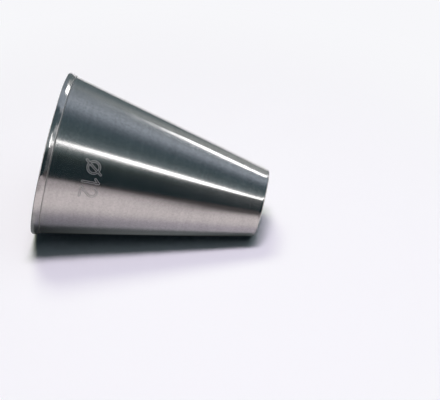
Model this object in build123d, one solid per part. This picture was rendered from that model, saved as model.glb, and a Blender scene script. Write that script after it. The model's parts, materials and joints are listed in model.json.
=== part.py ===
from build123d import *
import os
from math import asin, atan2, cos, degrees, hypot, tan

# A plain round piping nozzle, drawn and spun from one piece of stainless sheet.
# It is an open cone with a folded rim at its wide mouth and a short straight
# land at its outlet. It lies on its side, resting on a flat of the rim and on
# the outlet's edge, with the outlet towards +X. Lengths are in millimetres.

# Sheet and overall sizes
SHEET = 0.4             # thickness of the stainless sheet
OUTLET_BORE = 12.0      # diameter of the hole that the icing leaves by
MOUTH_DIAMETER = 30.3   # outside of the cone where it meets the mouth plane
LENGTH = 40.0           # mouth plane to outlet plane, along the axis
OUTLET_LAND = 0.8       # straight stretch at the outlet

# Rim at the mouth: the edge turned outward and pressed down against the side,
# in a press whose jaws leave shallow flats all the way round
HEM_LENGTH = 1.4        # mouth plane to the cut edge, along the axis
HEM_THICKNESS = 0.22    # the folded layer at the middle of a flat, square to the axis
RIM_FLATS = 24

# Rounded edges, most of them as shares of the metal that they round
NOSE_SHARE = 0.35         # of both layers: the fold, inside and outside the mouth
CUT_EDGE_SHARE = 0.45     # of the folded layer: its tumbled cut edge
OUTLET_EDGE_SHARE = 0.32  # of the sheet: both edges of the outlet
SHOULDER_RADIUS = 1.2     # where the cone turns into the outlet's land

NOSE_RADIUS = NOSE_SHARE * (SHEET + HEM_THICKNESS)
CUT_EDGE_RADIUS = CUT_EDGE_SHARE * HEM_THICKNESS
OUTLET_EDGE_RADIUS = OUTLET_EDGE_SHARE * SHEET

MOUTH_RADIUS = MOUTH_DIAMETER / 2
BORE_RADIUS = OUTLET_BORE / 2
TIP_RADIUS = BORE_RADIUS + SHEET
CONE_LENGTH = LENGTH - OUTLET_LAND
SLOPE = atan2(MOUTH_RADIUS - TIP_RADIUS, CONE_LENGTH)
INNER_MOUTH_RADIUS = MOUTH_RADIUS - SHEET / cos(SLOPE)
THROAT_HEIGHT = (INNER_MOUTH_RADIUS - BORE_RADIUS) / tan(SLOPE)


def turned(mouth_radius, end_radius, cone_height):
    """Solid turned about the axis: a cone from the mouth, then straight to the outlet."""
    with BuildSketch(Plane.XZ) as half:
        with BuildLine():
            Polyline(
                (0, 0), (mouth_radius, 0), (end_radius, cone_height),
                (end_radius, LENGTH), (0, LENGTH), close=True,
            )
        make_face()
        fillet(half.vertices().sort_by_distance((end_radius, cone_height))[0], SHOULDER_RADIUS)
    return revolve(half.sketch, Axis.Z)


def folded_rim():
    """The folded layer with its flats, one of them facing +X, as a solid block."""
    across = MOUTH_RADIUS + HEM_THICKNESS
    outline = RegularPolygon(across, RIM_FLATS, major_radius=False, rotation=180 / RIM_FLATS)
    return extrude(outline, HEM_LENGTH, taper=degrees(SLOPE))


def upright_shell():
    """The nozzle standing on its mouth, with its edges rounded."""
    shell = turned(MOUTH_RADIUS, TIP_RADIUS, CONE_LENGTH) + folded_rim()
    shell -= turned(INNER_MOUTH_RADIUS, BORE_RADIUS, THROAT_HEIGHT)
    rim = shell.edges().filter_by(GeomType.LINE)
    cut_edges = rim.filter_by_position(Axis.Z, HEM_LENGTH, HEM_LENGTH)
    shell = fillet(cut_edges, CUT_EDGE_RADIUS)
    nose = shell.edges().filter_by_position(Axis.Z, 0, 0)
    shell = fillet(nose, NOSE_RADIUS)
    outlet = shell.edges().filter_by_position(Axis.Z, LENGTH, LENGTH)
    return fillet(outlet, OUTLET_EDGE_RADIUS)


def rest_tilt():
    """Degrees from the table to the axis, lying on the rim and the outlet's edge."""
    rim_height = HEM_LENGTH - CUT_EDGE_RADIUS
    rim_radius = (
        MOUTH_RADIUS + HEM_THICKNESS - rim_height * tan(SLOPE) - CUT_EDGE_RADIUS / cos(SLOPE)
    )
    tip_height = LENGTH - OUTLET_EDGE_RADIUS
    tip_radius = TIP_RADIUS - OUTLET_EDGE_RADIUS
    drop = rim_radius - tip_radius
    span = tip_height - rim_height
    edge_difference = CUT_EDGE_RADIUS - OUTLET_EDGE_RADIUS
    return degrees(atan2(drop, span) + asin(edge_difference / hypot(drop, span)))


def nozzle_shell():
    """The whole nozzle, laid on its side over the origin."""
    lying = Rot(Y=90 + rest_tilt()) * upright_shell()
    box = lying.bounding_box()
    return Pos(-box.center().X, -box.center().Y, -box.min.Z) * lying


os.makedirs("parts", exist_ok=True)
shell = nozzle_shell()
shell.label = "nozzle_shell"
export_step(shell, "parts/nozzle_shell.step")
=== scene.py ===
import json
from math import ceil, cos, hypot, log, pi, radians, sin, tan, tau

import bpy
from mathutils import Matrix, Quaternion, Vector


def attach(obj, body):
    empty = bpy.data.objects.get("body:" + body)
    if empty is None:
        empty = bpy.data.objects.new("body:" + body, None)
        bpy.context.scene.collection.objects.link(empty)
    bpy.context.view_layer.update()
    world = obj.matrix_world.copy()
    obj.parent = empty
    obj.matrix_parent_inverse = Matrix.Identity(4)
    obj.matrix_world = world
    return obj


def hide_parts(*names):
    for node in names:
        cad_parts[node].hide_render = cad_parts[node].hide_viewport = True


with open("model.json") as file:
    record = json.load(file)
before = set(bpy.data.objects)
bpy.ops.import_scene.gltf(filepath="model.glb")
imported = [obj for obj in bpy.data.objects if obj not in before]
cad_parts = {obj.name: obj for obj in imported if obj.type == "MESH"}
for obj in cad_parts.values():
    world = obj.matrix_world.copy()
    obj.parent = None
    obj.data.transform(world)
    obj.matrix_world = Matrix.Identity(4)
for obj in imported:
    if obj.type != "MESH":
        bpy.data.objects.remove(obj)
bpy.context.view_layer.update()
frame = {"record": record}


# The shell
# The whole nozzle is one cone, drawn and spun from 0.4 mm stainless sheet. Its edge at
# the mouth is turned outward and pressed down on the side in a press with 24 jaws, and
# the outlet is drawn straight for a short way. Both edges are tumbled round.
MM = 0.001                      # every length here is in metres

SHEET = 0.4 * MM
OUTLET_BORE = 12.0 * MM
MOUTH_DIAMETER = 30.3 * MM
LENGTH = 40.0 * MM
OUTLET_LAND = 0.8 * MM          # inside
OUTSIDE_LAND = 0.4 * MM
SHOULDER_RADIUS = 1.2 * MM
OUTLET_EDGE_RADIUS = 0.27 * MM  # burnished round, outside
OUTLET_INSIDE_RADIUS = 0.1 * MM
SWELL = 0.09 * MM               # the drawn side stands this much outside a straight cone
SWELL_PLACE_SHARE = 0.6         # of the side's length: where the swell is greatest

HEM_LENGTH = 1.4 * MM
HEM_THICKNESS = 0.22 * MM       # at its crown, on the middle of a flat
FOLD_DROP = 0.09 * MM           # how much lower than its crown the layer starts, at the fold
CROWN_HEIGHT = 0.62 * MM        # the crown's height above the mouth
CROWN_RADIUS = 1.5 * MM
CUT_EDGE_STEP = 0.09 * MM       # what is left of the layer at its cut edge
FOLD_RADIUS = 0.24 * MM
CUT_EDGE_RADIUS = 0.06 * MM
CREVICE_DEPTH = 0.02 * MM       # below the side, where the cut edge lies on it
CREVICE_WIDTH = 0.2 * MM
CREVICE_RADIUS = 0.05 * MM
PRESS_FLATS = 24
FLAT_RISE = 0.11 * MM           # a crest between two flats, above the flats
CREST_BLEND = 0.02 * MM         # how softly a crest is rounded off
CREST_UNEVENNESS_SHARE = 0.6    # of the rise: how much lower the lowest crests are
PRESS_REACH = 0.8 * MM          # along the axis, each way from the crown
DENT_DEPTH = 0.05 * MM          # of the small dents round the pressed rim
DENT_WIDTH = 1.8 * MM
PRESS_SEED = 7

SIDE_STEPS = 48
STEPS_ROUND = 288
ARC_STEP = radians(15)
LEAST_ARC_STEPS = 4
LEAST_SIDE_STEPS = 3
MERGE_SHARE = 0.05              # of the crevice's radius: points as near as this are one

MOUTH_RADIUS = MOUTH_DIAMETER / 2
BORE_RADIUS = OUTLET_BORE / 2
TIP_RADIUS = BORE_RADIUS + SHEET
CONE_LENGTH = LENGTH - OUTLET_LAND
TAPER = (MOUTH_RADIUS - TIP_RADIUS) / CONE_LENGTH
INNER_MOUTH_RADIUS = MOUTH_RADIUS - hypot(SHEET, SHEET * TAPER)
THROAT_HEIGHT = (INNER_MOUTH_RADIUS - BORE_RADIUS) / TAPER

RIM, CUT, SATIN, INSIDE = "Rim finish", "Cut finish", "Satin finish", "Inside finish"
FINISHES = {        # its material, colour, roughness, grain, lines per mm and their depth
    RIM: ("pressed_rim", (0.58, 0.56, 0.55), 0.17, 0.3, 8.0, 0.0001 * MM),
    CUT: ("cut_edge", (0.42, 0.41, 0.4), 0.4, 0.2, 8.0, 0.0004 * MM),
    SATIN: ("satin_steel", (0.55, 0.53, 0.52), 0.17, 0.5, 9.0, 0.0001 * MM),
    INSIDE: ("drawn_inside", (0.56, 0.56, 0.55), 0.33, 0.6, 4.0, 0.0006 * MM),
}

mounts = {mount["name"]: mount for mount in frame["record"]["mounts"]}
AXIS = Vector(mounts["outlet_bore"]["axis"])
ON_AXIS = Vector(mounts["outlet_bore"]["pos_m"])
ON_MOUTH = Vector(mounts["mouth_rim"]["pos_m"])
MOUTH_CENTRE = ON_AXIS + AXIS * (ON_MOUTH - ON_AXIS).dot(AXIS)


def laid_on_its_side():
    """What lays down the upright nozzle, whose mouth is at the origin and resting flat at +X."""
    across = Vector((0, 1, 0))
    down = across.cross(AXIS)
    turn = Matrix((down, across, AXIS)).transposed().to_4x4()
    return Matrix.Translation(MOUTH_CENTRE) @ turn


def section_corners():
    """(height, radius, rounding, finish of what follows) round the section, from the mouth's inside."""
    hem_radius = MOUTH_RADIUS + HEM_THICKNESS
    at_cut = MOUTH_RADIUS - HEM_LENGTH * TAPER
    past_crevice = HEM_LENGTH + CREVICE_WIDTH
    return [
        (0, INNER_MOUTH_RADIUS, FOLD_RADIUS, RIM),
        (0, hem_radius - FOLD_DROP, FOLD_RADIUS, RIM),
        (CROWN_HEIGHT, hem_radius - CROWN_HEIGHT * TAPER, CROWN_RADIUS, RIM),
        (HEM_LENGTH, at_cut + CUT_EDGE_STEP, CUT_EDGE_RADIUS, CUT),
        (HEM_LENGTH, at_cut - CREVICE_DEPTH, CREVICE_RADIUS, CUT),
        (past_crevice, MOUTH_RADIUS - past_crevice * TAPER, CREVICE_RADIUS, SATIN),
        (LENGTH - OUTSIDE_LAND, TIP_RADIUS, SHOULDER_RADIUS, SATIN),
        (LENGTH, TIP_RADIUS, OUTLET_EDGE_RADIUS, SATIN),
        (LENGTH, BORE_RADIUS, OUTLET_INSIDE_RADIUS, INSIDE),
        (THROAT_HEIGHT, BORE_RADIUS, SHOULDER_RADIUS, INSIDE),
    ]


def rounded(corners):
    """One arc for each corner, as its points and the finish that starts there."""
    arcs = []
    for number, (height, radius, rounding, finish) in enumerate(corners):
        here = Vector((height, radius))
        back = (Vector(corners[number - 1][:2]) - here).normalized()
        onward = (Vector(corners[(number + 1) % len(corners)][:2]) - here).normalized()
        half = back.angle(onward) / 2
        centre = here + (back + onward).normalized() * rounding / sin(half)
        first = here + back * rounding / tan(half) - centre
        last = here + onward * rounding / tan(half) - centre
        sweep = pi - 2 * half
        steps = max(LEAST_ARC_STEPS, ceil(sweep / ARC_STEP))
        points = []
        for step in range(steps + 1):
            share = step / steps
            spoke = (first * sin(sweep * (1 - share)) + last * sin(sweep * share)) / sin(sweep)
            points.append(centre + spoke)
        arcs.append((points, finish))
    return arcs


def swell(height):
    """How far the drawn side stands outside a straight cone at a height above the mouth."""
    share = min(max(height / CONE_LENGTH, 0), 1)
    lean = log(1 / 2) / log(SWELL_PLACE_SHARE)      # brings the sine's middle to that place
    return SWELL * sin(pi * share ** lean)


def shell_section():
    """The closed section: points as (height, radius), and the finish's number from each on."""
    arcs = rounded(section_corners())
    points = []
    finishes = []
    for number, (arc, finish) in enumerate(arcs):
        start = arc[-1]
        end = arcs[(number + 1) % len(arcs)][0][0]
        steps = max(LEAST_SIDE_STEPS, ceil(SIDE_STEPS * (end - start).length / LENGTH))
        shares = [(1 - cos(pi * step / steps)) / 2 for step in range(1, steps)]
        straight = [start.lerp(end, share) for share in shares]
        for point in arc + straight:
            points.append(Vector((point.x, point.y + swell(point.x))))
            finishes.append(list(FINISHES).index(finish))
    return points, finishes


def section_object():
    """The section as loose points at (radius, 0, height), with what the spinning tree reads."""
    points, finishes = shell_section()
    mesh = bpy.data.meshes.new("section")
    mesh.from_pydata([(radius, 0, height) for height, radius in points], [], [])
    finish = mesh.attributes.new("finish", "INT", "POINT")
    finish.data.foreach_set("value", finishes)
    pressed = mesh.attributes.new("pressed", "FLOAT", "POINT")
    along = mesh.attributes.new("along", "FLOAT", "POINT")
    run = 0
    for number, (height, radius) in enumerate(points):
        outside = radius > MOUTH_RADIUS - height * TAPER
        off_crown = min(1, abs(height - CROWN_HEIGHT) / PRESS_REACH)
        on_rim = outside and height < HEM_LENGTH
        pressed.data[number].value = (1 - off_crown ** 2) ** 2 if on_rim else 0
        run += (points[number] - points[number - 1]).length if number else 0
        along.data[number].value = run
    section = bpy.data.objects.new("spun_shell", mesh)
    bpy.context.scene.collection.objects.link(section)
    return section


def sums(tree, kind):
    """Gives a function that adds one node of a kind for each sum, and returns its result."""
    def sum_of(operation, *terms):
        node = tree.nodes.new(kind)
        node.operation = operation
        for socket, term in zip(node.inputs, terms):
            if isinstance(term, bpy.types.NodeSocket):
                tree.links.new(term, socket)
            else:
                socket.default_value = term
        return node.outputs[0]
    return sum_of


def group_ends(tree, inputs, outputs):
    """Makes a group's named inputs and outputs, and gives the sockets at its two ends."""
    for name, kind, value in inputs:
        socket = tree.interface.new_socket(name, in_out="INPUT", socket_type=kind)
        if value is not None:
            socket.default_value = value
    for name, kind in outputs:
        tree.interface.new_socket(name, in_out="OUTPUT", socket_type=kind)
    return tree.nodes.new("NodeGroupInput").outputs, tree.nodes.new("NodeGroupOutput").inputs


def kept(tree, name, kind):
    """A value that the mesh keeps under a name."""
    attribute = tree.nodes.new("GeometryNodeInputNamedAttribute")
    attribute.data_type = kind
    attribute.inputs["Name"].default_value = name
    return attribute.outputs[0]


def stored(tree, mesh, name, kind, domain, value):
    """The mesh, with a value kept on it under a name."""
    store = tree.nodes.new("GeometryNodeStoreNamedAttribute")
    store.data_type = kind
    store.domain = domain
    store.inputs["Name"].default_value = name
    tree.links.new(mesh, store.inputs["Geometry"])
    tree.links.new(value, store.inputs["Value"])
    return store.outputs[0]


def from_section(tree, given, value, kind, point):
    """A value of the section at one of its points."""
    sample = tree.nodes.new("GeometryNodeSampleIndex")
    sample.data_type = kind
    tree.links.new(given["Section"], sample.inputs["Geometry"])
    tree.links.new(value, sample.inputs["Value"])
    tree.links.new(point, sample.inputs["Index"])
    return sample.outputs[0]


def pressed_out(tree, given, share_round, on_ring):
    """How far the rim stands out of its flats: more at the uneven crests, less in the dents."""
    number = sums(tree, "ShaderNodeMath")
    in_flats = number("MULTIPLY", share_round, given["Flats"])
    off_middle = number("SUBTRACT", in_flats, number("ROUND", in_flats))
    off_angle = number("DIVIDE", number("MULTIPLY", off_middle, tau), given["Flats"])
    half_radius = number("DIVIDE", given["Radius"], 2)
    flat = number("MULTIPLY", number("MULTIPLY", off_angle, off_angle), half_radius)
    luck = tree.nodes.new("FunctionNodeRandomValue")
    luck.data_type = "FLOAT"
    tree.links.new(number("FLOOR", in_flats), luck.inputs["ID"])
    tree.links.new(given["Seed"], luck.inputs["Seed"])
    drawn = luck.outputs[1]     # its result as one number
    lower = number("MULTIPLY", drawn, given["Unevenness"])
    crest = number("MULTIPLY", given["Rise"], number("SUBTRACT", 1, lower))
    height = number("MAXIMUM", number("SMOOTH_MIN", flat, crest, given["Blend"]), 0)
    dents = tree.nodes.new("ShaderNodeTexNoise")
    tree.links.new(on_ring, dents.inputs["Vector"])
    tree.links.new(number("DIVIDE", given["Radius"], given["Dent width"]), dents.inputs["Scale"])
    dent = number("MULTIPLY", dents.outputs["Fac"], given["Dent depth"])
    return number("SUBTRACT", height, dent)


def spun_place(tree, given, row, share_round):
    """Where a point of the section comes to, that share of a turn round the axis."""
    number = sums(tree, "ShaderNodeMath")
    position = tree.nodes.new("GeometryNodeInputPosition").outputs[0]
    place = tree.nodes.new("ShaderNodeSeparateXYZ")
    tree.links.new(from_section(tree, given, position, "FLOAT_VECTOR", row), place.inputs[0])
    angle = number("MULTIPLY", share_round, tau)
    cosine = number("COSINE", angle)
    sine = number("SINE", angle)
    on_ring = tree.nodes.new("ShaderNodeCombineXYZ")
    tree.links.new(cosine, on_ring.inputs["X"])
    tree.links.new(sine, on_ring.inputs["Y"])
    out = pressed_out(tree, given, share_round, on_ring.outputs[0])
    pressed = from_section(tree, given, kept(tree, "pressed", "FLOAT"), "FLOAT", row)
    radius = number("ADD", place.outputs["X"], number("MULTIPLY", out, pressed))
    spot = tree.nodes.new("ShaderNodeCombineXYZ")
    tree.links.new(number("MULTIPLY", radius, cosine), spot.inputs["X"])
    tree.links.new(number("MULTIPLY", radius, sine), spot.inputs["Y"])
    tree.links.new(place.outputs["Z"], spot.inputs["Z"])
    return spot.outputs[0]


def finished(tree, given, shell):
    """The shell, with each finish on the faces that keep its number."""
    for wanted, name in enumerate(FINISHES):
        same = tree.nodes.new("FunctionNodeCompare")
        same.data_type = "INT"
        same.operation = "EQUAL"
        its_number, wanted_number = same.inputs[2:4]    # its two sockets for whole numbers
        tree.links.new(kept(tree, "finish", "INT"), its_number)
        wanted_number.default_value = wanted
        paint = tree.nodes.new("GeometryNodeSetMaterial")
        tree.links.new(shell, paint.inputs["Geometry"])
        tree.links.new(same.outputs[0], paint.inputs["Selection"])
        tree.links.new(given[name], paint.inputs["Material"])
        shell = paint.outputs[0]
    return shell


def spinning_tree():
    """Turns the section's points round the axis, presses the rim and sets the finishes."""
    tree = bpy.data.node_groups.new("spin_shell", "GeometryNodeTree")
    given, result = group_ends(tree, (
        ("Section", "NodeSocketGeometry", None),
        ("Steps round", "NodeSocketInt", STEPS_ROUND),
        ("Flats", "NodeSocketInt", PRESS_FLATS),
        ("Radius", "NodeSocketFloat", MOUTH_RADIUS),
        ("Rise", "NodeSocketFloat", FLAT_RISE),
        ("Blend", "NodeSocketFloat", CREST_BLEND),
        ("Unevenness", "NodeSocketFloat", CREST_UNEVENNESS_SHARE),
        ("Dent depth", "NodeSocketFloat", DENT_DEPTH),
        ("Dent width", "NodeSocketFloat", DENT_WIDTH),
        ("Seed", "NodeSocketInt", PRESS_SEED),
        *((finish, "NodeSocketMaterial", None) for finish in FINISHES),
    ), (("Shell", "NodeSocketGeometry"),))
    put = tree.nodes.new
    link = tree.links.new
    whole = sums(tree, "FunctionNodeIntegerMath")
    number = sums(tree, "ShaderNodeMath")

    size = put("GeometryNodeAttributeDomainSize")
    link(given["Section"], size.inputs["Geometry"])
    points = size.outputs["Point Count"]
    grid = put("GeometryNodeMeshGrid")
    link(whole("ADD", points, 1), grid.inputs["Vertices X"])
    columns = whole("ADD", given["Steps round"], 1)
    link(columns, grid.inputs["Vertices Y"])
    index = put("GeometryNodeInputIndex").outputs[0]
    row = whole("MODULO", whole("DIVIDE_FLOOR", index, columns), points)
    share_round = number("DIVIDE", whole("MODULO", index, columns), given["Steps round"])

    spun = put("GeometryNodeSetPosition")
    link(grid.outputs["Mesh"], spun.inputs["Geometry"])
    link(spun_place(tree, given, row, share_round), spun.inputs["Position"])

    unrolled = put("ShaderNodeCombineXYZ")
    along = from_section(tree, given, kept(tree, "along", "FLOAT"), "FLOAT", row)
    link(along, unrolled.inputs["X"])
    link(share_round, unrolled.inputs["Y"])
    at_points = put("GeometryNodeFieldOnDomain")
    at_points.data_type = "FLOAT_VECTOR"
    at_points.domain = "POINT"
    link(unrolled.outputs[0], at_points.inputs[0])
    with_uv = stored(tree, spun.outputs[0], "unrolled", "FLOAT2", "CORNER", at_points.outputs[0])
    face_row = whole("DIVIDE_FLOOR", index, given["Steps round"])
    finish = from_section(tree, given, kept(tree, "finish", "INT"), "INT", face_row)
    closed = put("GeometryNodeMergeByDistance")
    link(stored(tree, with_uv, "finish", "INT", "FACE", finish), closed.inputs["Geometry"])
    closed.inputs["Distance"].default_value = CREVICE_RADIUS * MERGE_SHARE
    turned_out = put("GeometryNodeFlipFaces")
    link(closed.outputs[0], turned_out.inputs["Mesh"])
    smooth = put("GeometryNodeSetShadeSmooth")
    link(turned_out.outputs[0], smooth.inputs["Geometry"])
    real = put("GeometryNodeRealizeInstances")
    link(smooth.outputs[0], real.inputs["Geometry"])
    link(finished(tree, given, real.outputs[0]), result["Shell"])
    return tree


# Its steel
# Spinning leaves fine lines round the axis, in bands, and tumbling leaves faint specks.
# The press burnishes the rim, the side is satin polished, and the inside stays duller.
CHANGES_ROUND_PER_MM = 0.05     # how soon a line changes along its way round
LINE_DETAIL = 3.0               # finer lines within the lines
LINE_ROUGHNESS = 0.6
LINE_ROUGHENING = 0.12          # how much rougher the roughest lines are than the smoothest
BAND_COARSENESS = 8             # how many lines wide a band is
BAND_NOISE = (0.3, 0.7)         # from the darkest bands to the lightest
BAND_SHADES = (0.95, 1.04)
SPECK_SIZE = 0.4 * MM           # of the faint mottling that tumbling leaves
SPECK_DETAIL = 2.0
SPECK_SHADE = 0.4               # between the darkest specks and the lightest


def nozzle_place(material):
    """Object coordinates turned to the upright nozzle: Z is the height above the mouth."""
    link = material.node_tree.links.new
    where = material.node_tree.nodes.new("ShaderNodeTexCoord")
    turn = material.node_tree.nodes.new("ShaderNodeMapping")
    turn.vector_type = "TEXTURE"
    turn.inputs["Location"].default_value = MOUTH_CENTRE
    turn.inputs["Rotation"].default_value = laid_on_its_side().to_euler()
    link(where.outputs["Object"], turn.inputs["Vector"])
    return turn.outputs[0]


def turned_lines():
    """Group: fine lines that run round the axis, the bands that they make, and specks."""
    tree = bpy.data.node_groups.new("turned_lines", "ShaderNodeTree")
    given, result = group_ends(tree, (
        ("Place", "NodeSocketVector", None),
        ("Lines per mm", "NodeSocketFloat", None),
        ("Changes round per mm", "NodeSocketFloat", CHANGES_ROUND_PER_MM),
    ), [(name, "NodeSocketFloat") for name in ("Lines", "Bands", "Specks")])
    number = sums(tree, "ShaderNodeMath")
    for name, coarser in (("Lines", 1), ("Bands", BAND_COARSENESS)):
        stretch = tree.nodes.new("ShaderNodeCombineXYZ")
        around = number("DIVIDE", given["Changes round per mm"], MM)
        tree.links.new(around, stretch.inputs["X"])
        tree.links.new(around, stretch.inputs["Y"])
        tree.links.new(number("DIVIDE", given["Lines per mm"], MM * coarser), stretch.inputs["Z"])
        scaled = tree.nodes.new("ShaderNodeVectorMath")
        scaled.operation = "MULTIPLY"
        tree.links.new(given["Place"], scaled.inputs[0])
        tree.links.new(stretch.outputs[0], scaled.inputs[1])
        noise = tree.nodes.new("ShaderNodeTexNoise")
        noise.inputs["Scale"].default_value = 1
        noise.inputs["Detail"].default_value = LINE_DETAIL
        noise.inputs["Roughness"].default_value = LINE_ROUGHNESS
        tree.links.new(scaled.outputs[0], noise.inputs["Vector"])
        tree.links.new(noise.outputs["Fac"], result[name])
    specks = tree.nodes.new("ShaderNodeTexNoise")
    specks.inputs["Scale"].default_value = 1 / SPECK_SIZE
    specks.inputs["Detail"].default_value = SPECK_DETAIL
    tree.links.new(given["Place"], specks.inputs["Vector"])
    tree.links.new(specks.outputs["Fac"], result["Specks"])
    return tree


def steel(name, colour, roughness, grain, lines_per_mm, line_depth, lines_group):
    """A turned stainless finish. grain is the anisotropy across its lines."""
    material = bpy.data.materials.new(name)
    material.use_nodes = True
    tree = material.node_tree
    link = tree.links.new
    surface = tree.nodes["Principled BSDF"]
    surface.inputs["Metallic"].default_value = 1
    surface.inputs["Anisotropic"].default_value = grain
    along = tree.nodes.new("ShaderNodeTangent")
    along.direction_type = "UV_MAP"
    along.uv_map = "unrolled"
    link(along.outputs[0], surface.inputs["Tangent"])

    lines = tree.nodes.new("ShaderNodeGroup")
    lines.node_tree = lines_group
    lines.inputs["Lines per mm"].default_value = lines_per_mm
    link(nozzle_place(material), lines.inputs["Place"])
    number = sums(tree, "ShaderNodeMath")
    shade = tree.nodes.new("ShaderNodeMapRange")
    link(lines.outputs["Bands"], shade.inputs["Value"])
    shade.inputs["From Min"].default_value = BAND_NOISE[0]
    shade.inputs["From Max"].default_value = BAND_NOISE[1]
    shade.inputs["To Min"].default_value = BAND_SHADES[0] - SPECK_SHADE / 2
    shade.inputs["To Max"].default_value = BAND_SHADES[1] - SPECK_SHADE / 2
    tint = tree.nodes.new("ShaderNodeVectorMath")
    tint.operation = "SCALE"
    tint.inputs[0].default_value = colour
    mottled = number("MULTIPLY_ADD", lines.outputs["Specks"], SPECK_SHADE, shade.outputs[0])
    link(mottled, tint.inputs["Scale"])
    link(tint.outputs[0], surface.inputs["Base Color"])
    smoothest = roughness - LINE_ROUGHENING / 2
    rough = number("MULTIPLY_ADD", lines.outputs["Lines"], LINE_ROUGHENING, smoothest)
    link(rough, surface.inputs["Roughness"])
    bump = tree.nodes.new("ShaderNodeBump")
    bump.inputs["Strength"].default_value = 1
    bump.inputs["Distance"].default_value = line_depth
    link(lines.outputs["Lines"], bump.inputs["Height"])
    link(bump.outputs[0], surface.inputs["Normal"])
    return material


# Its mark
# The outlet's bore is etched on the side near the mouth: a plain diameter sign and the
# figures 1 and 2, drawn as outlines with a fine line and read from the mouth.
MARK_TURN = radians(-112)       # of its middle, round the upright nozzle from its resting flat
MARK_MIDDLE = 8.9 * MM          # above the mouth
MARK_LETTER = 2.9 * MM          # height of its figures
MARK_STROKE = 0.42 * MM         # outside, of a stroke that is drawn as its outline
MARK_LINE = 0.13 * MM
MARK_SHARE = 0.6                # how much of the polish the etching takes away
MARK_COLOUR = (0.42, 0.42, 0.41, 1)
MARK_ROUGHENING = 0.4
MARK_DULLING = 0.75             # how much less like bare metal it is
RING_MIDDLE_SHARES = (-0.85, 0)     # places in the mark, as shares of a figure's height
RING_RADIUS_SHARE = 0.36
SLASH_SHARES = ((-1.22, -0.5), (-0.48, 0.5))
ONE_SHARES = ((-0.16, 0.26), (0.08, 0.5), (0.08, -0.5))
BOWL_MIDDLE_SHARES = (0.72, 0.22)
BOWL_RADIUS_SHARE = 0.28
BOWL_TURNS = (radians(165), radians(-38))
BOWL_STEPS = 6
FOOT_SHARES = ((0.44, -0.5), (1.02, -0.5))


def blended(tree, share, first, second):
    """The first colour where the share is 0, and the second where it is 1."""
    mix = tree.nodes.new("ShaderNodeMix")
    mix.data_type = "RGBA"
    tree.links.new(share, mix.inputs["Factor"])
    colour_sockets = mix.inputs[6:8]
    for socket, colour in zip(colour_sockets, (first, second)):
        if isinstance(colour, bpy.types.NodeSocket):
            tree.links.new(colour, socket)
        else:
            socket.default_value = colour
    colour_result = mix.outputs[2]
    return colour_result


def ramped(tree, value, start, end):
    """A smooth step of a value, from 0 at its start to 1 at its end."""
    step = tree.nodes.new("ShaderNodeMapRange")
    step.interpolation_type = "SMOOTHSTEP"
    tree.links.new(value, step.inputs["Value"])
    step.inputs["From Min"].default_value = start
    step.inputs["From Max"].default_value = end
    return step.outputs[0]


def length_of(tree, vector):
    """How long a vector is."""
    node = tree.nodes.new("ShaderNodeVectorMath")
    node.operation = "LENGTH"
    tree.links.new(vector, node.inputs[0])
    return node.outputs["Value"]


def from_stroke(tree, here, start, end):
    """How far a point is from a straight stroke of the mark."""
    number = sums(tree, "ShaderNodeMath")
    vector = sums(tree, "ShaderNodeVectorMath")
    start = Vector((*start, 0))
    run = Vector((*end, 0)) - start
    off = vector("SUBTRACT", here, start)
    along = tree.nodes.new("ShaderNodeVectorMath")
    along.operation = "DOT_PRODUCT"
    tree.links.new(off, along.inputs[0])
    along.inputs[1].default_value = run / run.length_squared
    within = number("MINIMUM", number("MAXIMUM", along.outputs["Value"], 0), 1)
    reach = tree.nodes.new("ShaderNodeVectorMath")
    reach.operation = "SCALE"
    reach.inputs[0].default_value = run
    tree.links.new(within, reach.inputs["Scale"])
    return length_of(tree, vector("SUBTRACT", off, reach.outputs[0]))


def figure_lines():
    """The slash, the 1 and the 2 as lines of points, as shares of a figure's height."""
    bowl = []
    for step in range(BOWL_STEPS + 1):
        turn = BOWL_TURNS[0] + (BOWL_TURNS[1] - BOWL_TURNS[0]) * step / BOWL_STEPS
        across = BOWL_MIDDLE_SHARES[0] + BOWL_RADIUS_SHARE * cos(turn)
        bowl.append((across, BOWL_MIDDLE_SHARES[1] + BOWL_RADIUS_SHARE * sin(turn)))
    return SLASH_SHARES, ONE_SHARES, (*bowl, *FOOT_SHARES)


def etched_mark():
    """Group: 1 on the lines of the mark, and 0 elsewhere."""
    tree = bpy.data.node_groups.new("etched_mark", "ShaderNodeTree")
    given, result = group_ends(
        tree, [("Place", "NodeSocketVector", None)], [("Etched", "NodeSocketFloat")],
    )
    number = sums(tree, "ShaderNodeMath")
    vector = sums(tree, "ShaderNodeVectorMath")
    parts = tree.nodes.new("ShaderNodeSeparateXYZ")
    tree.links.new(given["Place"], parts.inputs[0])
    angle = number("ARCTAN2", parts.outputs["Y"], parts.outputs["X"])
    side_radius = MOUTH_RADIUS - MARK_MIDDLE * TAPER
    across = number("MULTIPLY", number("SUBTRACT", angle, MARK_TURN), side_radius / MARK_LETTER)
    above = number("SUBTRACT", parts.outputs["Z"], MARK_MIDDLE)
    point = tree.nodes.new("ShaderNodeCombineXYZ")
    tree.links.new(across, point.inputs["X"])
    tree.links.new(number("DIVIDE", above, MARK_LETTER), point.inputs["Y"])
    here = point.outputs[0]

    from_ring = length_of(tree, vector("SUBTRACT", here, Vector((*RING_MIDDLE_SHARES, 0))))
    nearest = number("ABSOLUTE", number("SUBTRACT", from_ring, RING_RADIUS_SHARE))
    for figure in figure_lines():
        for start, end in zip(figure, figure[1:]):
            nearest = number("MINIMUM", nearest, from_stroke(tree, here, start, end))
    outline = number("SUBTRACT", nearest, (MARK_STROKE - MARK_LINE) / 2 / MARK_LETTER)
    edge = ramped(tree, number("ABSOLUTE", outline), MARK_LINE / MARK_LETTER, 0)
    tree.links.new(edge, result["Etched"])
    return tree


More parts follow.
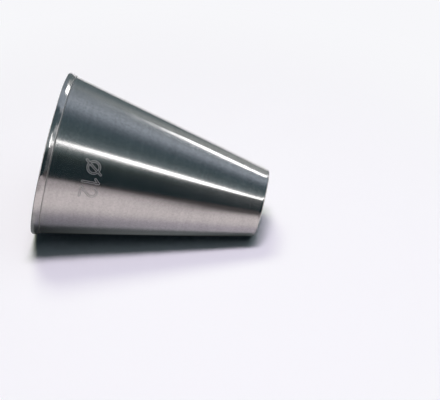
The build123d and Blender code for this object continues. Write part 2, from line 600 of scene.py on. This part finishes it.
def etch(material, mark_group):
    """Takes the polish off where the mark is: duller, rougher and less like bare metal."""
    tree = material.node_tree
    surface = tree.nodes["Principled BSDF"]
    mark = tree.nodes.new("ShaderNodeGroup")
    mark.node_tree = mark_group
    tree.links.new(nozzle_place(material), mark.inputs["Place"])
    number = sums(tree, "ShaderNodeMath")
    share = number("MULTIPLY", mark.outputs["Etched"], MARK_SHARE)
    polished = surface.inputs["Base Color"].links[0].from_socket
    tree.links.new(blended(tree, share, polished, MARK_COLOUR), surface.inputs["Base Color"])
    smooth = surface.inputs["Roughness"].links[0].from_socket
    rough = number("MULTIPLY_ADD", share, MARK_ROUGHENING, smooth)
    tree.links.new(rough, surface.inputs["Roughness"])
    metallic = number("MULTIPLY_ADD", share, -MARK_DULLING, 1)
    tree.links.new(metallic, surface.inputs["Metallic"])


# The shell, put together
# The section is spun, with the four finishes on its faces and the mark on its satin side,
# and the finished shell is laid down where the record says.


def spun_shell():
    """The finished shell in its place, as a plain mesh."""
    section = section_object()
    lines = turned_lines()
    finishes = {name: steel(*values, lines) for name, values in FINISHES.items()}
    etch(finishes[SATIN], etched_mark())
    tree = spinning_tree()
    spin = section.modifiers.new("spin", "NODES")
    spin.node_group = tree
    for socket in tree.interface.items_tree:
        if socket.in_out == "INPUT" and socket.name in finishes:
            spin[socket.identifier] = finishes[socket.name]
    bpy.context.view_layer.update()
    seen = section.evaluated_get(bpy.context.evaluated_depsgraph_get())
    mesh = bpy.data.meshes.new_from_object(seen)
    mesh.name = "spun_shell"
    section.modifiers.remove(spin)
    section.data = mesh
    mesh.transform(laid_on_its_side())
    return section


shell = spun_shell()
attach(shell, "root")
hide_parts("nozzle_shell")


# The table
# A plain pale board carries the nozzle and isn't part of it. The steel shows it dimmer than
# the camera does, with painted shade: most of all close under the nozzle and far off on
# the right, and with a painted glow just under the nozzle. Bounced light finds it dark, as
# painted shade too. For the camera it fades into the pale room.
BOARD_SIDES = 0.2
BOARD_BEHIND = 0.15
BOARD_IN_FRONT = 0.4
BOARD_ROUGHNESS = 0.8
BLACK = (0, 0, 0, 1)
TABLE_COLOUR = (0.92, 0.915, 0.95, 1)
MIRRORED_SHADE = (0.85, 0.802, 0.812, 1)   # painted shade: the board in front, as the steel shows it
BOUNCE_SHADE = (0.1, 0.13, 0.15, 1)         # painted shade: the board's colour for light that has bounced off a matt surface
FIRST_BOUNCE = 0.5              # diffuse depth: light past this has left a matt surface
# Places on the board are in metres, and a band runs from no change to the whole of it
MIRROR_CHANGE = (-0.01, 0.01)   # from behind the nozzle's middle to in front of it
DIM_FROM = 0.02                 # painted shade: it darkens to the right of a slanting line
DIM_SLANT = 0.2
DIM_BAND = (-0.026, 0.01)
DIM_IN_FRONT = (0.015, 0.045)
DIM_SHARE = 0.9
LEFT_SLANT = 0.5                # painted shade: and to the left of another, far off
LEFT_BAND = (0, -0.02)
LEFT_IN_FRONT = (0.035, 0.09)
LEFT_SHARE = 0.32
NEAR_SLANT = 0.45               # painted shade: it darkens near the nozzle, nearer still to its outlet
NEAR_BAND = (0.0248, 0.002)
NEAR_SHADE = (0.22, 0.235, 0.25, 1)
PAINTED_NEAR_GLOW = (0.22, 0.24, 0.25, 1)           # painted glow: what the steel shows of the board under the nozzle
PAINTED_GLOW_FROM = (0.001, 0.007)
PAINTED_GLOW_TO_THE_RIGHT = (-0.03, 0.02)
PALE_ROOM = (0.93, 0.93, 0.955, 1)
SEEN_BOARD = (0.045, 0.09)      # from the origin: beyond, the camera sees the pale room


def board_in_the_steel(tree, to_the_right, forward):
    """The board's colour with its painted shade, as the steel shows it, and 1 close under the nozzle,
    falling to 0 away from it.
    """
    number = sums(tree, "ShaderNodeMath")
    in_front = ramped(tree, forward, *MIRROR_CHANGE)
    # painted shade: the board darkens close under the nozzle, as the steel shows it
    near_line = number("MULTIPLY_ADD", to_the_right, NEAR_SLANT, forward)
    near = number("MULTIPLY", ramped(tree, near_line, *NEAR_BAND), in_front)
    # painted shade: in front of the nozzle the board is darker and warmer, for the steel alone
    shown = blended(tree, in_front, TABLE_COLOUR, MIRRORED_SHADE)
    shown = blended(tree, near, shown, NEAR_SHADE)

    # painted shade: the board darkens far off on the right and on the left, as the steel shows it
    line = number("MULTIPLY_ADD", forward, DIM_SLANT, DIM_FROM)
    right = ramped(tree, number("SUBTRACT", to_the_right, line), *DIM_BAND)
    right = number("MULTIPLY", right, ramped(tree, forward, *DIM_IN_FRONT))
    shown = blended(tree, number("MULTIPLY", right, DIM_SHARE), shown, BLACK)
    line = number("SUBTRACT", to_the_right, number("MULTIPLY", forward, LEFT_SLANT))
    left = ramped(tree, line, *LEFT_BAND)
    left = number("MULTIPLY", left, ramped(tree, forward, *LEFT_IN_FRONT))
    shown = blended(tree, number("MULTIPLY", left, LEFT_SHARE), shown, BLACK)
    return shown, near


def board_material():
    """Pale for the camera and faded far off; painted shade and a painted glow as the steel shows it;
    dark, as painted shade, for bounced light.
    """
    material = bpy.data.materials.new("pale_board")
    material.use_nodes = True
    tree = material.node_tree
    surface = tree.nodes["Principled BSDF"]
    surface.inputs["Roughness"].default_value = BOARD_ROUGHNESS
    surface.inputs["Specular IOR Level"].default_value = 0
    number = sums(tree, "ShaderNodeMath")
    parts = tree.nodes.new("ShaderNodeSeparateXYZ")
    tree.links.new(tree.nodes.new("ShaderNodeTexCoord").outputs["Object"], parts.inputs[0])
    to_the_right = parts.outputs["X"]
    forward = number("MULTIPLY", parts.outputs["Y"], -1)
    mirrored, near = board_in_the_steel(tree, to_the_right, forward)

    path = tree.nodes.new("ShaderNodeLightPath")
    in_the_steel = path.outputs["Is Glossy Ray"]
    for_the_camera = path.outputs["Is Camera Ray"]
    # painted shade: light that has bounced off a matt surface finds the board dark, so the shadow under
    # the nozzle stays dark
    bounced = number("GREATER_THAN", path.outputs["Diffuse Depth"], FIRST_BOUNCE)
    straight = number("MAXIMUM", number("SUBTRACT", in_the_steel, bounced), 0)
    # painted glow: close under the nozzle the board glows, for the steel alone
    glow = number("MULTIPLY", near, ramped(tree, forward, *PAINTED_GLOW_FROM))
    glow = number("MULTIPLY", glow, ramped(tree, to_the_right, *PAINTED_GLOW_TO_THE_RIGHT))
    glow = number("MULTIPLY", glow, straight)
    squares = number("ADD", number("POWER", to_the_right, 2), number("POWER", forward, 2))
    away = ramped(tree, number("SQRT", squares), *SEEN_BOARD)
    faded = number("MULTIPLY", for_the_camera, away)
    tree.links.new(number("ADD", glow, faded), surface.inputs["Emission Strength"])
    glow_colour = blended(tree, for_the_camera, PAINTED_NEAR_GLOW, PALE_ROOM)
    tree.links.new(glow_colour, surface.inputs["Emission Color"])
    colour = blended(tree, in_the_steel, TABLE_COLOUR, mirrored)
    # painted shade for bounced light
    colour = blended(tree, bounced, colour, BOUNCE_SHADE)
    tree.links.new(blended(tree, faded, colour, BLACK), surface.inputs["Base Color"])
    return material


def table():
    """The board, level with the nozzle's lowest points."""
    corners = [
        (-BOARD_SIDES, -BOARD_IN_FRONT, 0), (BOARD_SIDES, -BOARD_IN_FRONT, 0),
        (BOARD_SIDES, BOARD_BEHIND, 0), (-BOARD_SIDES, BOARD_BEHIND, 0),
    ]
    mesh = bpy.data.meshes.new("table")
    mesh.from_pydata(corners, [], [(0, 1, 2, 3)])
    mesh.materials.append(board_material())
    board = bpy.data.objects.new("table", mesh)
    bpy.context.scene.collection.objects.link(board)
    return board


table()


# The studio
# A lamp almost overhead gives most of the light and the dark shadow under the nozzle, and
# a wide lit cloth softens it. A lamp behind gives the faint shadow in front. One lamp in
# front on the right and a thin one behind draw the two bright lines along the side.
LAMP_DISTANCE = 0.6
# Each lamp: the way towards it, its width and height, its slant, its watts and its colour
LIGHTING_LAMPS = {              # these don't show in the steel
    "overhead_lamp": (Vector((0.08, -0.16, 0.99)), 0.22, 0.12, 0, 2.42, (0.97, 0.88, 1)),
    "overhead_cloth": (Vector((0.35, -0.1, 0.92)), 0.8, 0.5, 0, 0.68, (0.8, 0.95, 0.99)),
    "lamp_behind": (Vector((-0.14, 0.29, 0.93)), 0.22, 0.2, 0, 1.08, (0.92, 1, 0.72)),
}
MIRRORED_LAMPS = {              # these show in the steel alone
    "front_lamp": (Vector((0.573, -0.55, 0.608)), 0.2, 0.055, radians(-61), 0.115, (1, 1, 1)),
    "back_lamp": (Vector((0.443, 0.75, 0.491)), 0.19, 0.028, radians(-23), 0.1, (1, 1, 1)),
}


def oval_lamp(name, towards, width, height, slant, power, colour):
    """A lamp that faces the nozzle, turned by its slant about the way towards it."""
    light = bpy.data.lights.new(name, "AREA")
    light.shape = "ELLIPSE"
    light.size = width
    light.size_y = height
    light.energy = power
    light.color = colour
    lamp = bpy.data.objects.new(name, light)
    lamp.location = towards.normalized() * LAMP_DISTANCE
    turn = towards.to_track_quat("Z", "Y") @ Quaternion((0, 0, 1), slant)
    lamp.rotation_euler = turn.to_euler()
    bpy.context.scene.collection.objects.link(lamp)
    return lamp


for name, lamp in LIGHTING_LAMPS.items():
    oval_lamp(name, *lamp).visible_glossy = False
for name, lamp in MIRRORED_LAMPS.items():
    oval_lamp(name, *lamp).visible_diffuse = False


# The screens
# Long dim screens curve right round the table, and only the steel shows them: nearly black
# low in front, dark teal overhead with a paler band in front of that, and palest behind.
TENT_RADIUS = 0.9
TENT_LEFT = -0.7
TENT_RIGHT = 1.1
TENT_STEPS = 60
STRAIGHT_UP = 0.5               # its place on the ramp of colours, which is a whole turn long
SCREEN_COLOURS = (              # (degrees from straight up, towards the front, colour)
    (-180, (0.1, 0.12, 0.13)),
    (-95, (0.13, 0.17, 0.18)),
    (-70, (0.2, 0.25, 0.28)),
    (-50, (0.3, 0.35, 0.4)),
    (-37, (0.42, 0.48, 0.55)),
    (-27, (0.36, 0.42, 0.49)),
    (-14, (0.16, 0.2, 0.24)),
    (-3, (0.08, 0.12, 0.145)),
    (16, (0.08, 0.12, 0.135)),
    (30, (0.17, 0.22, 0.24)),
    (41, (0.38, 0.42, 0.44)),
    (50, (0.09, 0.13, 0.135)),
    (59, (0.025, 0.042, 0.043)),
    (70, (0.015, 0.03, 0.036)),
    (180, (0.015, 0.025, 0.03)),
)
PALER_IN_FRONT = (0.13, 0.14, 0.15, 1)      # what the screens in front turn to on the right
IN_FRONT_FROM = (0.7, 0.85)                 # radians from straight up, towards the front
IN_FRONT_ON_THE_RIGHT = (0.5, 0.8)
PALER_BEHIND = (0.42, 0.45, 0.45, 1)        # and those behind
BEHIND_FROM = (-1.0, -1.25)                 # radians too
BEHIND_ON_THE_RIGHT = (0.1, 0.28)


def screen_material():
    """Glows with the colours round the table, paler on the right in front and behind."""
    material = bpy.data.materials.new("dim_screen")
    material.use_nodes = True
    tree = material.node_tree
    tree.nodes.clear()
    link = tree.links.new
    number = sums(tree, "ShaderNodeMath")
    where = tree.nodes.new("ShaderNodeTexCoord")
    parts = tree.nodes.new("ShaderNodeSeparateXYZ")
    link(where.outputs["Object"], parts.inputs[0])
    forward = number("MULTIPLY", parts.outputs["Y"], -1)
    angle = number("ARCTAN2", forward, parts.outputs["Z"])
    ramp = tree.nodes.new("ShaderNodeValToRGB")
    link(number("ADD", number("DIVIDE", angle, tau), STRAIGHT_UP), ramp.inputs[0])
    stops = ramp.color_ramp.elements
    for count, (degrees_forward, colour) in enumerate(SCREEN_COLOURS):
        stop = stops[count] if count < len(stops) else stops.new(1)
        stop.position = radians(degrees_forward) / tau + STRAIGHT_UP
        stop.color = (*colour, 1)
    shown = ramp.outputs[0]
    for paler, turned_from, on_the_right in (
        (PALER_IN_FRONT, IN_FRONT_FROM, IN_FRONT_ON_THE_RIGHT),
        (PALER_BEHIND, BEHIND_FROM, BEHIND_ON_THE_RIGHT),
    ):
        right = ramped(tree, parts.outputs["X"], *on_the_right)
        share = number("MULTIPLY", right, ramped(tree, angle, *turned_from))
        shown = blended(tree, share, shown, paler)
    glow = tree.nodes.new("ShaderNodeEmission")
    link(shown, glow.inputs["Color"])
    out = tree.nodes.new("ShaderNodeOutputMaterial")
    link(glow.outputs[0], out.inputs["Surface"])
    return material


def tent():
    """The screens, as one long tube round the table that casts no light or shadow on it."""
    points = []
    faces = []
    for step in range(TENT_STEPS + 1):
        angle = tau * step / TENT_STEPS
        for end in (TENT_LEFT, TENT_RIGHT):
            points.append((end, TENT_RADIUS * cos(angle), TENT_RADIUS * sin(angle)))
        if step:
            last = 2 * step
            faces.append((last - 2, last - 1, last + 1, last))
    mesh = bpy.data.meshes.new("screens")
    mesh.from_pydata(points, [], faces)
    mesh.materials.append(screen_material())
    screens = bpy.data.objects.new("screens", mesh)
    screens.visible_camera = False
    screens.visible_shadow = False
    screens.visible_diffuse = False
    bpy.context.scene.collection.objects.link(screens)
    return screens


tent()


# The room
# It is pale behind the table, for the camera and in the steel, and gives only a dim fill.
DIM_ROOM = (0.008, 0.016, 0.02, 1)


def pale_world():
    """Pale where the camera or the steel sees it straight, and dim for the rest."""
    world = bpy.data.worlds.new("pale_room")
    bpy.context.scene.world = world
    world.use_nodes = True
    tree = world.node_tree
    path = tree.nodes.new("ShaderNodeLightPath")
    number = sums(tree, "ShaderNodeMath")
    mirrored = number("MAXIMUM", path.outputs["Is Glossy Ray"], path.outputs["Is Transmission Ray"])
    straight = number("LESS_THAN", path.outputs["Diffuse Depth"], FIRST_BOUNCE)
    mirrored = number("MULTIPLY", mirrored, straight)
    seen = number("MAXIMUM", path.outputs["Is Camera Ray"], mirrored)
    room = tree.nodes["Background"]
    tree.links.new(blended(tree, seen, DIM_ROOM, PALE_ROOM), room.inputs["Color"])


pale_world()
bpy.context.scene.view_settings.view_transform = "Standard"


# The camera
# It stands in front, a little to the right, and looks down at the nozzle.
CAMERA_HEIGHT_ANGLE = radians(36.0)
CAMERA_SIDE_ANGLE = radians(5.48)
CAMERA_DISTANCE = 0.236
CLIP_SHARE = 0.01               # of its distance: nothing nearer shows
LOOKS_AT = Vector((0.01276, 0, 0.00643))
IMAGE_WIDTH = 440               # pixels
FOCAL_PIXELS = 1264.6
SENSOR = 36.0                   # millimetres across, and the lens is in millimetres too


def camera():
    """Sets up the scene's camera."""
    lens = bpy.data.cameras.new("camera")
    lens.sensor_width = SENSOR
    lens.lens = FOCAL_PIXELS / IMAGE_WIDTH * SENSOR
    lens.clip_start = CAMERA_DISTANCE * CLIP_SHARE
    towards = Vector((
        sin(CAMERA_SIDE_ANGLE) * cos(CAMERA_HEIGHT_ANGLE),
        -cos(CAMERA_SIDE_ANGLE) * cos(CAMERA_HEIGHT_ANGLE),
        sin(CAMERA_HEIGHT_ANGLE),
    ))
    seat = bpy.data.objects.new("camera", lens)
    seat.location = LOOKS_AT + towards * CAMERA_DISTANCE
    seat.rotation_euler = towards.to_track_quat("Z", "Y").to_euler()
    bpy.context.scene.collection.objects.link(seat)
    bpy.context.scene.camera = seat


camera()
